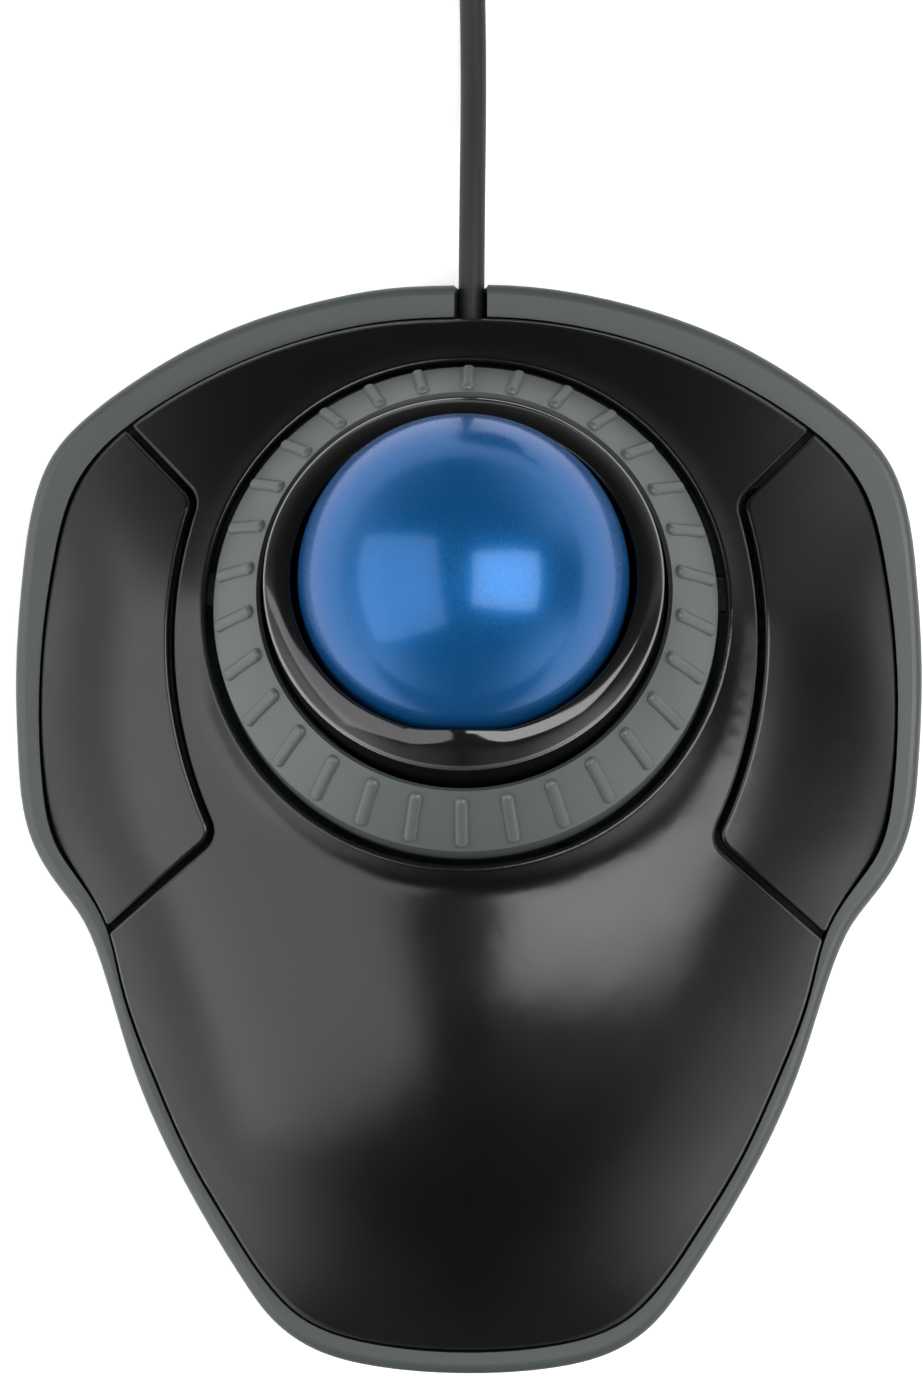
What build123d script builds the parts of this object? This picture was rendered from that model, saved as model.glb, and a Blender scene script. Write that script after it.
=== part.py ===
from build123d import *
import math
import os

os.makedirs("parts", exist_ok=True)

# ---------------------------------------------------------------- driving dimensions (mm)
# +X is to the user's right, +Y is the cable end, +Z is up, z = 0 is the desk.
FOOT_PROUD = 1.2            # rubber feet stand this far below the base
BASE_BOTTOM = FOOT_PROUD
BASE_FLOOR = 3.2            # upper face of the base floor
BASE_FLARE_TOP = 6.4        # the skirt leans outwards up to here, then stands upright
RIM_TOP = 10.6              # top of the grey rim
FLARE_INSET = 2.4           # how far the foot of the skirt is set in
RIM_ROUND = 1.3
COVER_GAP = 0.4             # shadow gap between rim and black cover
COVER_SKIRT = 7.4           # lower edge of the cover inside the rim
COVER_WALL = 2.2
COVER_SKIN = 2.4
BUTTON_GAP = 0.75           # gap between the cover and each button
BUTTON_SKIN = 2.2
BUTTON_DEPTH = 4.6          # depth of the edge wall under each button
EDGE_Z = 9.9                # height the crowned top falls to at the outline
PALM_SOFT = 0.8             # share of the crown that falls as a parabola on the palm rest
CROWN_SOFT = 0.6            # the same share beside and behind the ring
CROWN_LIMIT = 1.12          # past this share of the half width the fall is straight
COVER_EDGE_ROUND = 1.2
SEAM_ROUND = 0.5            # rounding of the seams round the ring and the buttons
POST_RISE = 25.0            # tall enough to reach the cover from any base boss
TALL = 60.0                 # taller than the whole body

BALL_R = 20.0
BALL_CENTRE = (0.0, 30.84, 36.5)
SOCKET_R = 20.9             # spherical inside of cup and collar
RING_TILT = 15.3            # scroll ring axis leans to the rear
LIP_TILT = 23.5             # the collar's lip leans a little more
RING_EDGE_R = 31.0
RING_EDGE_H = -11.2
RING_MOUTH_R = 24.8
RING_MOUTH_H = -4.0
RIB_COUNT = 30
RIB_WIDTH = 1.7
RIB_LENGTH = 7.7
RIB_HEIGHT = 0.5
RIB_ROOT = 0.7              # the ribs are sunk this far into the ring
RIB_ROUND = 0.7
OPENING_R = 32.05           # opening in the cover round the ring
OPENING_H = -12.75
PEDESTAL_SLOPE = 1.6        # the cover rises to the opening as a cone
PEDESTAL_BLEND = 6.0
PEDESTAL_SOFT = 8.0
JOURNAL_R = 24.74           # the ring turns on this bearing surface of the cup
COLLAR_R = 24.2
COLLAR_SEAT_H = -7.0
BARREL_END_H = -15.9
SKIRT_END_H = -20.0

BOARD_BOTTOM = 5.2
BOARD_TOP = 6.8
CABLE_D = 3.3
CABLE_Z = 7.2
ENCODER_ANGLE = 35.0        # optical pair, left of the rear centre line
ENCODER_H = -18.0
ENCODER_TOP = 13.0
NOTCH_WIDTH = 4.2           # cable notch in the rear rim
SMALL_SCREW_R = 1.1
SCREW_R = 1.25
SHANK_CLEARANCE = 0.3
HEAD_CLEARANCE = 0.25
HEAD_R = 2.4
HEAD_T = 1.3
RECESS_L = 2.6              # cross recess in each head
RECESS_W = 0.55
RECESS_DEPTH = 0.8
HEAD_SEAT = 2.9             # heads of the case and cup screws bear on this level
CASE_SCREW_GRIP = 6.0       # thread length inside a cover post
BOARD_SCREW_GRIP = 2.8
CASE_BOSS_R = 3.4
CUP_BOSS_R = 4.0
BOARD_BOSS_R = 3.0
FOOT_SUNK = 0.8
FOOT_ROUND = 0.4
LABEL_W = 44.0
LABEL_L = 24.0
LABEL_T = 0.15
LABEL_CORNER = 2.0
LABEL_Y = -20.0
POST_R = 2.4                # hinge posts and barrels
POST_T = 2.0
POST_GAP = 0.15
BARREL_HALF = 3.0
GROMMET_Y = 58.0
GROMMET_W = 8.0
GROMMET_L = 4.0
GROMMET_TOP = 10.0
GROMMET_ROUND = 0.6
CRADLE_H = 5.5
CRADLE_WALL = 1.5
BUTTON_CORNER = 2.6
BUTTON_WALL = 1.6
WEB_H = 10.0                # half height of the web above each hinge barrel
PRESS_POST = (4.0, 5.0)     # section of the post over each switch
PRESS_POST_H = 15.0
SWITCH_BODY = (5.8, 12.8)
SWITCH_TOP = 13.3
SWITCH_WELL = (1.4, 2.8, 3.2)
PLUNGER = (1.3, 2.7, 2.6)
PLUNGER_TOP = 14.0
PLUNGER_PLAY = 0.03
BOWL_R = 23.2
CUP_FLANGE_R = 25.6
CUP_FLANGE_H = -17.2
CUP_LEG_R = 3.0
CUP_LEG_TOPS = (22.5, 22.5, 23.5)
CUP_SCREW_GRIP = 6.0
CUP_HOLLOW_TOP = -11.5      # annular hollow between bowl and journal
CUP_HOLLOW_SIDE = 1.2
JOURNAL_WALL = 1.8
RUNNING_GAP = 0.1
WINDOW_R = 4.2
WINDOW_DEPTH = 8.0
POCKET_CLEARANCE = 0.03
POCKET_DEPTH = 2.5
LIP_TOP_R = 21.6            # the collar's lip is a gentle crown, highest at this radius
LIP_TOP_H = 1.35
LIP_CROWN_R = 5.5
LIP_CROWN_END = 40.0        # degrees of crown, enough to run out through the wall
LIP_EDGE_ROUND = 0.25
COLLAR_BLANK = 18.0         # height of the collar before its lip is cut
BUMP_HALF = 8.0             # low rise of the lip at the front centre
BUMP_FOOT = -3.0
BUMP_TOP = 2.65
BUMP_SHOULDER = 0.9         # share of the rise that the bump keeps at its shoulders
RING_BULGE = 0.25           # the ring's band is slightly domed
RING_WALL = 1.8
RING_STEP_H = -12.4         # under side of the band where it meets the outer wall
MOUTH_CHAMFER = 0.5
CARRIER_R = 26.3
CARRIER_TOP_H = -7.0
CARRIER_FLANGE_H = -15.0
CARRIER_FLANGE_T = 1.2
SKIRT_R = 29.6
SKIRT_T = 1.2
SKIRT_SLOTS = 48
SLOT_W = 1.6
SLOT_H = 2.4
SLOT_SILL = 0.8
BEARING_R = 1.2
BEARING_PLAY = 0.02
BEARING_POLAR = 50.0        # bearings sit this far up from the bottom of the cup

# Half outlines, from the rear centre line round to the front centre line.
RIM_HALF = [
    (0, 68.75), (10, 68.3), (18.3, 66.8), (26.3, 64.5), (34, 61.3), (41.3, 57.1), (48.2, 52),
    (52.8, 46.9), (54.9, 41.9), (56.5, 32), (57.25, 19), (56.9, 8.8), (55.4, -1), (52.5, -6.5),
    (48.7, -11.6), (46.4, -16.7), (42.4, -29.4), (35.5, -44.7), (27.8, -57.4), (24.3, -62),
    (20, -65.3), (11, -68), (0, -68.75),
]
COVER_HALF = [
    (0, 64.65), (10.1, 64.1), (20.2, 62), (30.2, 58.3), (40.3, 52.7), (46.3, 47.9), (49.9, 42.9),
    (52.2, 35.3), (53.7, 25.2), (54.2, 15.2), (53.7, 5.1), (51.9, -2.5), (48.5, -7.5),
    (45.6, -12.5), (43.6, -20.1), (39.5, -31.5), (34.3, -42.8), (29.8, -50.3), (24.6, -57.9),
    (20.8, -61.6), (10.5, -65.2), (0, -66),
]

# ---------------------------------------------------------------- tilted frames of the ball group
tilt = math.radians(RING_TILT)
ring_direction = Vector(0, math.sin(tilt), math.cos(tilt))
lip_tilt = math.radians(LIP_TILT)
lip_direction = Vector(0, math.sin(lip_tilt), math.cos(lip_tilt))
ring_axis = Axis(BALL_CENTRE, ring_direction)
lip_axis = Axis(BALL_CENTRE, lip_direction)
ring_plane = Plane(origin=BALL_CENTRE, x_dir=(1, 0, 0), z_dir=ring_direction)
ring_section = Plane(origin=BALL_CENTRE, x_dir=(1, 0, 0),
                     z_dir=Vector(1, 0, 0).cross(ring_direction))
lip_section = Plane(origin=BALL_CENTRE, x_dir=(1, 0, 0),
                    z_dir=Vector(1, 0, 0).cross(lip_direction))


def smooth_through(stations):
    """A smooth curve value(at) through (station, value) pairs, stations rising."""
    count = len(stations)
    slopes = []
    for i in range(count):
        before = stations[max(i - 1, 0)]
        after = stations[min(i + 1, count - 1)]
        slopes.append((after[1] - before[1]) / (after[0] - before[0]))

    def value(at):
        i = 0
        while i < count - 2 and at > stations[i + 1][0]:
            i += 1
        start, end = stations[i], stations[i + 1]
        step = end[0] - start[0]
        t = (at - start[0]) / step
        if t < 0:
            return start[1] + slopes[i] * (at - start[0])
        if t > 1:
            return end[1] + slopes[i + 1] * (at - end[0])
        return (
            (2 * t**3 - 3 * t**2 + 1) * start[1]
            + (t**3 - 2 * t**2 + t) * step * slopes[i]
            + (3 * t**2 - 2 * t**3) * end[1]
            + (t**3 - t**2) * step * slopes[i + 1]
        )

    return value


# Height of the crown along the middle, its shape across, and half width at which it falls to EDGE_Z.
crown_height = smooth_through([
    (-72, 6), (-66, 11), (-60, 15.5), (-50, 21), (-38, 25.6), (-24, 28.9), (-12, 30.2),
    (0, 30.4), (10, 31.2), (20, 31.6), (28, 30.4), (40, 25.3), (50, 20.6), (58.5, 16.4),
    (64.5, 12.8), (72, 7.5),
])
crown_soft = smooth_through([
    (-72, PALM_SOFT), (-30, PALM_SOFT), (30, CROWN_SOFT), (72, CROWN_SOFT),
])
crown_width = smooth_through([
    (-72, 22), (-60, 27), (-50, 32), (-38, 38.4), (-24, 43.8), (-10, 48.6), (0, 52.8),
    (10, 55), (20, 55.2), (30, 54), (40, 51.8), (50, 47), (60, 40), (72, 32),
])


def smooth_max(a, b, blend):
    """The larger of two heights, rounded where they cross."""
    near = max(blend - abs(a - b), 0) / blend
    return max(a, b) + near**3 * blend / 6


def top_height(x, y):
    """Height of the black top surface: a crowned palm rest with the ring's pedestal on it."""
    ratio = abs(x) / crown_width(y)
    held = min(ratio, CROWN_LIMIT)
    soft = crown_soft(y)
    crown = 1 - soft * held**2 - (1 - soft) * held**4
    crown -= (2 * soft * held + 4 * (1 - soft) * held**3) * (ratio - held)
    dome = EDGE_Z + (crown_height(y) - EDGE_Z) * crown
    rise = (OPENING_H - (y - BALL_CENTRE[1]) * math.sin(tilt)) / math.cos(tilt)
    centre_y = BALL_CENTRE[1] + OPENING_H * math.sin(tilt)
    radius = math.hypot(x, (y - centre_y) / math.cos(tilt))
    run = math.hypot(radius, PEDESTAL_SOFT) - math.hypot(OPENING_R, PEDESTAL_SOFT)
    pedestal = BALL_CENTRE[2] + rise - PEDESTAL_SLOPE * run
    return smooth_max(dome, pedestal, PEDESTAL_BLEND)


GRID_X = 60.0
GRID_Y = 72.0
GRID_STEP = 2.4
columns = round(2 * GRID_X / GRID_STEP)
rows = round(2 * GRID_Y / GRID_STEP)
top_grid = []
for row in range(rows + 1):
    y = -GRID_Y + row * GRID_STEP
    line = []
    for column in range(columns + 1):
        x = -GRID_X + column * GRID_STEP
        line.append(Vector(x, y, top_height(x, y)))
    top_grid.append(line)
top_face = Face.make_surface_from_array_of_points(top_grid, tol=0.02, min_deg=3, max_deg=3)


def above_top(drop):
    """Everything above the top surface lowered by drop."""
    return Solid.extrude(top_face.moved(Location((0, 0, -drop))), Vector(0, 0, 90))


def top_edges(part, tolerance=0.06, shortest=0.5):
    """Edges of a piece that lie on the black top surface."""
    found = []
    for edge in part.edges():
        places = [edge @ t for t in (0.1, 0.5, 0.9)]
        lift = max(abs(place.Z - top_height(place.X, place.Y)) for place in places)
        if lift < tolerance and edge.length > shortest:
            found.append(edge)
    return found


def outline(half, inset=0.0):
    """The closed outline of a half outline, moved inwards by inset."""
    loop = list(half) + [(-x, y) for x, y in reversed(half[1:-1])]
    moved = []
    for i, (x, y) in enumerate(loop):
        before = loop[i - 1]
        after = loop[(i + 1) % len(loop)]
        along = Vector(after[0] - before[0], after[1] - before[1]).normalized()
        moved.append((x + along.Y * inset, y - along.X * inset))
    return moved


# ---------------------------------------------------------------- fixings, shared positions
CASE_SCREWS = [(26, 54), (-26, 54), (24, -36), (-24, -36)]
CASE_SPLIT = 5.6            # cover posts stand on the base bosses at this height
CUP_LEGS = [(15, 38), (-15, 38), (0, 13)]
BOARD_SCREWS = [(32, 30), (-32, 30), (30, 1.5), (-30, 1.5)]
FEET = {
    "rear_left_foot": (-36, 45),
    "rear_right_foot": (36, 45),
    "front_left_foot": (-17, -56),
    "front_right_foot": (17, -56),
}
FOOT_R = 5.5
HINGE_Y = 41.0
HINGE_Z = 8.0
HINGE_X = 41.0
PIVOT_R = 1.5
PIVOT_CLEARANCE = 0.05
SWITCH_X = 42.0
SWITCH_Y = 8.0


STANDING = (Align.CENTER, Align.CENTER, Align.MIN)
HANGING = (Align.CENTER, Align.CENTER, Align.MAX)


def save(part, label):
    """Name a finished piece and write it as parts/<label>.step."""
    part.label = label
    export_step(part, f"parts/{label}.step")
    return part


def ring_local(x, y, height):
    """A location given in the ring's tilted frame (z along its axis)."""
    return Location(ring_plane) * Location((x, y, height))


# ---------------------------------------------------------------- base shell
with BuildPart() as base_shell:
    for height, inset in ((BASE_BOTTOM, FLARE_INSET), (BASE_FLARE_TOP, 0.0)):
        with BuildSketch(Plane.XY.offset(height)):
            with BuildLine():
                Spline(*outline(RIM_HALF, inset), periodic=True)
            make_face()
    loft(ruled=True)
    with BuildSketch(Plane.XY.offset(BASE_FLARE_TOP)):
        with BuildLine():
            Spline(*outline(RIM_HALF), periodic=True)
        make_face()
    extrude(amount=RIM_TOP - BASE_FLARE_TOP)
    fillet(base_shell.edges().group_by(Axis.Z)[-1], RIM_ROUND)
    with BuildSketch(Plane.XY.offset(BASE_FLOOR)):
        with BuildLine():
            Spline(*outline(COVER_HALF), periodic=True)
        make_face()
    extrude(amount=RIM_TOP, mode=Mode.SUBTRACT)

    # bosses for the cover, the ball cup and the board
    with BuildSketch(Plane.XY.offset(BASE_FLOOR)):
        with Locations(*CASE_SCREWS):
            Circle(CASE_BOSS_R)
    extrude(amount=CASE_SPLIT - BASE_FLOOR)
    with BuildSketch(Plane.XY.offset(BASE_FLOOR)):
        with Locations(*CUP_LEGS):
            Circle(CUP_BOSS_R)
        with Locations(*BOARD_SCREWS):
            Circle(BOARD_BOSS_R)
    extrude(amount=BOARD_BOTTOM - BASE_FLOOR)

    # hinge posts, a pair for each button
    for side in (-1, 1):
        for reach in (-1, 1):
            middle = side * HINGE_X + reach * (BARREL_HALF + POST_GAP + POST_T / 2)
            with BuildSketch(Plane.YZ.offset(middle)):
                with Locations((HINGE_Y, HINGE_Z)):
                    Circle(POST_R)
                with Locations((HINGE_Y, (HINGE_Z + BASE_FLOOR) / 2)):
                    Rectangle(2 * POST_R, HINGE_Z - BASE_FLOOR)
                with Locations((HINGE_Y, HINGE_Z)):
                    Circle(PIVOT_R + PIVOT_CLEARANCE, mode=Mode.SUBTRACT)
            extrude(amount=POST_T / 2, both=True)

    # cradle that holds the cable grommet
    with Locations((0, GROMMET_Y, BASE_FLOOR)):
        Box(GROMMET_W + 2 * CRADLE_WALL, GROMMET_L + 2 * CRADLE_WALL, CRADLE_H, align=STANDING)
        Box(GROMMET_W, GROMMET_L, CRADLE_H, align=STANDING, mode=Mode.SUBTRACT)

    # cable notch through the rear wall, open at the top
    with BuildSketch(Plane.XZ.offset(-GROMMET_Y + GROMMET_L)):
        with Locations((0, CABLE_Z)):
            Circle(NOTCH_WIDTH / 2)
        with Locations((0, CABLE_Z + RIM_TOP / 2)):
            Rectangle(NOTCH_WIDTH, RIM_TOP)
    extrude(amount=-TALL / 2, mode=Mode.SUBTRACT)

    # screw holes and head recesses from below
    with BuildSketch(Plane.XY.offset(BASE_BOTTOM)):
        with Locations(*CASE_SCREWS, *CUP_LEGS):
            Circle(SCREW_R + SHANK_CLEARANCE)
    extrude(amount=CASE_SPLIT, mode=Mode.SUBTRACT)
    with BuildSketch(Plane.XY.offset(BASE_BOTTOM)):
        with Locations(*CASE_SCREWS, *CUP_LEGS):
            Circle(HEAD_R + HEAD_CLEARANCE)
    extrude(amount=HEAD_SEAT - BASE_BOTTOM, mode=Mode.SUBTRACT)
    with BuildSketch(Plane.XY.offset(BOARD_BOTTOM)):
        with Locations(*BOARD_SCREWS):
            Circle(SMALL_SCREW_R)
    extrude(amount=-BOARD_SCREW_GRIP, mode=Mode.SUBTRACT)

    # recesses for the feet and the rating label
    with BuildSketch(Plane.XY.offset(BASE_BOTTOM)):
        with Locations(*FEET.values()):
            Circle(FOOT_R)
    extrude(amount=FOOT_SUNK, mode=Mode.SUBTRACT)
    with BuildSketch(Plane.XY.offset(BASE_BOTTOM)):
        with Locations((0, LABEL_Y)):
            RectangleRounded(LABEL_W, LABEL_L, LABEL_CORNER)
    extrude(amount=LABEL_T, mode=Mode.SUBTRACT)
save(base_shell.part, "base_shell")

for foot_name, foot_place in FEET.items():
    with BuildPart() as foot:
        with BuildSketch():
            with Locations(foot_place):
                Circle(FOOT_R)
        extrude(amount=FOOT_PROUD + FOOT_SUNK)
        fillet(foot.edges().group_by(Axis.Z)[0], FOOT_ROUND)
    save(foot.part, foot_name)

with BuildPart() as rating_label:
    with BuildSketch(Plane.XY.offset(BASE_BOTTOM)):
        with Locations((0, LABEL_Y)):
            RectangleRounded(LABEL_W, LABEL_L, LABEL_CORNER)
    extrude(amount=LABEL_T)
save(rating_label.part, "rating_label")

# ---------------------------------------------------------------- black cover
with BuildPart() as cover_core:
    with BuildSketch(Plane.XY.offset(COVER_SKIRT - 1)):
        with BuildLine():
            Spline(*outline(COVER_HALF, COVER_GAP + COVER_WALL), periodic=True)
        make_face()
    extrude(amount=TALL)
    add(above_top(COVER_SKIN), mode=Mode.SUBTRACT)

with BuildPart() as cover_block:
    with BuildSketch(Plane.XY.offset(COVER_SKIRT)):
        with BuildLine():
            Spline(*outline(COVER_HALF, COVER_GAP), periodic=True)
        make_face()
    extrude(amount=TALL)
    add(above_top(0), mode=Mode.SUBTRACT)
    fillet(top_edges(cover_block, tolerance=0.1), COVER_EDGE_ROUND)


def button_region(growth):
    """Plan of the right button's zone, open to the outside, grown by growth."""
    with BuildSketch() as region:
        with BuildLine():
            front_corner = (30.6, -0.65)
            rear_corner = (33.7, 41)
            Polyline(front_corner, (45.9, -13.85), (62, -27.7), (62, 69.3), rear_corner)
            ThreePointArc(rear_corner, (36.35, 24), front_corner)
        make_face()
        fillet(region.vertices().sort_by(Axis.X)[:2], BUTTON_CORNER)
        offset(amount=growth, kind=Kind.INTERSECTION)
    return region.sketch


with BuildPart() as button_openings:
    with BuildSketch():
        add(button_region(BUTTON_GAP / 2))
        mirror(about=Plane.YZ)
    extrude(amount=TALL)

with BuildPart() as cover_posts:
    with BuildSketch(Plane.XY.offset(CASE_SPLIT)):
        with Locations(*CASE_SCREWS):
            Circle(CASE_BOSS_R)
    extrude(amount=POST_RISE)
    add(above_top(COVER_SKIN / 2), mode=Mode.SUBTRACT)

with BuildPart() as top_cover:
    add(cover_block.part)
    add(cover_core.part, mode=Mode.SUBTRACT)
    with BuildSketch(ring_plane.offset(-TALL / 2)):
        Circle(OPENING_R)
    extrude(amount=TALL, mode=Mode.SUBTRACT)
    add(button_openings.part, mode=Mode.SUBTRACT)
    fillet(top_edges(top_cover), SEAM_ROUND)
    add(cover_posts.part)
    with BuildSketch(Plane.XY.offset(CASE_SPLIT)):
        with Locations(*CASE_SCREWS):
            Circle(SCREW_R)
    extrude(amount=CASE_SCREW_GRIP, mode=Mode.SUBTRACT)
    with BuildSketch(Plane.XZ.offset(-GROMMET_Y)):
        with Locations((0, CABLE_Z)):
            Circle(NOTCH_WIDTH / 2)
    extrude(amount=-TALL / 4, mode=Mode.SUBTRACT)
save(top_cover.part, "top_cover")

# ---------------------------------------------------------------- buttons
with BuildPart() as button_core:
    with BuildSketch():
        add(button_region(-BUTTON_GAP / 2 - BUTTON_WALL))
    extrude(amount=TALL)
    add(cover_core.part, mode=Mode.INTERSECT)

with BuildPart() as below_button:
    with BuildSketch():
        add(button_region(BUTTON_WALL))
    extrude(amount=TALL)
    add(above_top(BUTTON_DEPTH), mode=Mode.SUBTRACT)

with BuildPart() as button_fixings:
    # hinge barrel with its web, and the post over the switch
    with BuildSketch(Plane.YZ.offset(HINGE_X)):
        with Locations((HINGE_Y, HINGE_Z)):
            Circle(POST_R)
        with Locations((HINGE_Y, HINGE_Z + WEB_H)):
            Rectangle(2 * PIVOT_R, 2 * WEB_H)
    extrude(amount=BARREL_HALF, both=True)
    with BuildSketch(Plane.XY.offset(PLUNGER_TOP + PLUNGER_PLAY)):
        with Locations((SWITCH_X, SWITCH_Y)):
            Rectangle(*PRESS_POST)
    extrude(amount=PRESS_POST_H)
    add(above_top(BUTTON_SKIN / 2), mode=Mode.SUBTRACT)
    with BuildSketch(Plane.YZ.offset(HINGE_X)):
        with Locations((HINGE_Y, HINGE_Z)):
            Circle(PIVOT_R)
    extrude(amount=BARREL_HALF + POST_GAP + POST_T, both=True)

with BuildPart() as right_button:
    add(cover_block.part)
    with BuildSketch():
        add(button_region(-BUTTON_GAP / 2))
    extrude(amount=TALL, mode=Mode.INTERSECT)
    add(below_button.part, mode=Mode.SUBTRACT)
    add(button_core.part, mode=Mode.SUBTRACT)
    fillet(top_edges(right_button), SEAM_ROUND)
    add(button_fixings.part)
save(right_button.part, "right_button")

with BuildPart() as left_button:
    add(right_button.part)
    mirror(about=Plane.YZ, mode=Mode.REPLACE)
save(left_button.part, "left_button")

# ---------------------------------------------------------------- ball, cup and bearings
with BuildPart() as ball:
    with Locations(BALL_CENTRE):
        Sphere(BALL_R)
save(ball.part, "ball")


def at_radius(sphere_r, height):
    """Distance from the axis of a sphere about the ball centre at the given height."""
    return math.sqrt(sphere_r**2 - height**2)


BEARING_ANGLES = (90, 210, 330)
bearing_places = []
for angle in BEARING_ANGLES:
    polar = math.radians(BEARING_POLAR)
    turn = math.radians(angle)
    distance = BALL_R + BEARING_PLAY + BEARING_R
    bearing_places.append(
        (
            distance * math.sin(polar) * math.cos(turn),
            distance * math.sin(polar) * math.sin(turn),
            -distance * math.cos(polar),
        )
    )

with BuildPart() as ball_cup:
    with BuildSketch(ring_section):
        with BuildLine():
            flange_r = at_radius(BOWL_R, CUP_FLANGE_H)
            socket_r = at_radius(SOCKET_R, COLLAR_SEAT_H)
            Polyline(
                (socket_r, COLLAR_SEAT_H),
                (JOURNAL_R, COLLAR_SEAT_H),
                (JOURNAL_R, BARREL_END_H - RUNNING_GAP),
                (CUP_FLANGE_R, BARREL_END_H - RUNNING_GAP),
                (CUP_FLANGE_R, CUP_FLANGE_H),
                (flange_r, CUP_FLANGE_H),
            )
            RadiusArc((flange_r, CUP_FLANGE_H), (0, -BOWL_R), BOWL_R)
            Line((0, -BOWL_R), (0, -SOCKET_R))
            RadiusArc((0, -SOCKET_R), (socket_r, COLLAR_SEAT_H), -SOCKET_R)
        make_face()
        # annular hollow between bowl and journal keeps the wall even
        with BuildLine():
            hollow_foot = (flange_r + CUP_HOLLOW_SIDE, CUP_FLANGE_H - 1)
            Polyline(
                hollow_foot,
                (JOURNAL_R - JOURNAL_WALL, CUP_FLANGE_H - 1),
                (JOURNAL_R - JOURNAL_WALL, CUP_HOLLOW_TOP),
                hollow_foot,
            )
        make_face(mode=Mode.SUBTRACT)
    revolve(axis=ring_axis)
    # legs that stand on the base bosses
    for (leg_x, leg_y), leg_top in zip(CUP_LEGS, CUP_LEG_TOPS):
        with BuildSketch(Plane.XY.offset(BOARD_BOTTOM)):
            with Locations((leg_x, leg_y)):
                Circle(CUP_LEG_R)
        extrude(amount=leg_top - BOARD_BOTTOM)
    with Locations(BALL_CENTRE):
        Sphere(SOCKET_R, mode=Mode.SUBTRACT)
    with BuildSketch(Plane.XY.offset(BOARD_BOTTOM)):
        with Locations(*CUP_LEGS):
            Circle(SCREW_R)
    extrude(amount=CUP_SCREW_GRIP, mode=Mode.SUBTRACT)
    # window for the sensor and pockets for the support bearings
    with Locations((BALL_CENTRE[0], BALL_CENTRE[1], BALL_CENTRE[2] - BOWL_R)):
        Cylinder(WINDOW_R, WINDOW_DEPTH, mode=Mode.SUBTRACT)
    for place in bearing_places:
        pocket_direction = (ring_local(*place).position - Vector(*BALL_CENTRE)).normalized()
        pocket_origin = ring_local(*place).position
        with BuildSketch(Plane(origin=pocket_origin, z_dir=pocket_direction)):
            Circle(BEARING_R + POCKET_CLEARANCE)
        extrude(amount=-POCKET_DEPTH, mode=Mode.SUBTRACT)
        with Locations(pocket_origin):
            Sphere(BEARING_R + POCKET_CLEARANCE, mode=Mode.SUBTRACT)
save(ball_cup.part, "ball_cup")

for number, place in enumerate(bearing_places, start=1):
    with BuildPart() as bearing:
        with Locations(ring_local(*place).position):
            Sphere(BEARING_R)
    save(bearing.part, f"support_bearing_{number}")

shoulder = BUMP_HALF * 0.36
haunch = (BUMP_HALF * 0.7, 0.3)
with BuildPart() as lip_bump:
    with BuildSketch(lip_section.offset(SOCKET_R / 2)):
        with BuildLine():
            Line((-BUMP_HALF, BUMP_FOOT), (BUMP_HALF, BUMP_FOOT))
            Spline(
                (BUMP_HALF, BUMP_FOOT),
                haunch,
                (shoulder, BUMP_TOP * BUMP_SHOULDER),
                (0, BUMP_TOP),
                (-shoulder, BUMP_TOP * BUMP_SHOULDER),
                (-haunch[0], haunch[1]),
                (-BUMP_HALF, BUMP_FOOT),
            )
        make_face()
    extrude(amount=SOCKET_R)
    with BuildSketch(ring_plane.offset(COLLAR_SEAT_H)):
        Circle(COLLAR_R)
    extrude(amount=COLLAR_BLANK, mode=Mode.INTERSECT)

with BuildPart() as ball_collar:
    with BuildSketch(ring_plane.offset(COLLAR_SEAT_H)):
        Circle(COLLAR_R)
    extrude(amount=COLLAR_BLANK)
    # crowned lip, turned about the lip axis
    with BuildSketch(lip_section):
        with BuildLine():
            inner = (0, LIP_TOP_H)
            top = (LIP_TOP_R, LIP_TOP_H)
            crown_end = math.radians(LIP_CROWN_END)
            reach = LIP_CROWN_R * math.sin(crown_end)
            fall = LIP_CROWN_R * (1 - math.cos(crown_end))
            outer = (LIP_TOP_R + reach, LIP_TOP_H - fall)
            Line(inner, top)
            RadiusArc(top, outer, LIP_CROWN_R)
            Polyline(
                outer, (2 * COLLAR_R, outer[1]), (2 * COLLAR_R, COLLAR_BLANK), (0, COLLAR_BLANK), inner
            )
        make_face()
    revolve(axis=lip_axis, mode=Mode.SUBTRACT)
    fillet(ball_collar.edges().sort_by(SortBy.LENGTH)[-1:], LIP_EDGE_ROUND)
    add(lip_bump.part)
    with Locations(BALL_CENTRE):
        Sphere(SOCKET_R, mode=Mode.SUBTRACT)
save(ball_collar.part, "ball_collar")

# ---------------------------------------------------------------- scroll ring
with BuildPart() as ring_rib:
    mouth_r = RING_MOUTH_R + MOUTH_CHAMFER
    slope = math.atan2(RING_MOUTH_H - RING_EDGE_H, RING_EDGE_R - mouth_r)
    rib_r = (RING_EDGE_R + mouth_r) / 2
    rib_h = (RING_EDGE_H + RING_MOUTH_H) / 2
    rib_plane = Plane(
        origin=(rib_r + RING_BULGE * math.sin(slope), 0, rib_h + RING_BULGE * math.cos(slope)),
        x_dir=(-math.cos(slope), 0, math.sin(slope)),
        z_dir=(math.sin(slope), 0, math.cos(slope)),
    )
    with BuildSketch(rib_plane.offset(-RIB_ROOT)):
        SlotOverall(RIB_LENGTH, RIB_WIDTH)
    extrude(amount=RIB_ROOT + RIB_HEIGHT)
    rib_top = ring_rib.faces().sort_by(Axis((0, 0, 0), rib_plane.z_dir))[-1]
    fillet(rib_top.edges(), RIB_ROUND)

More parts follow.
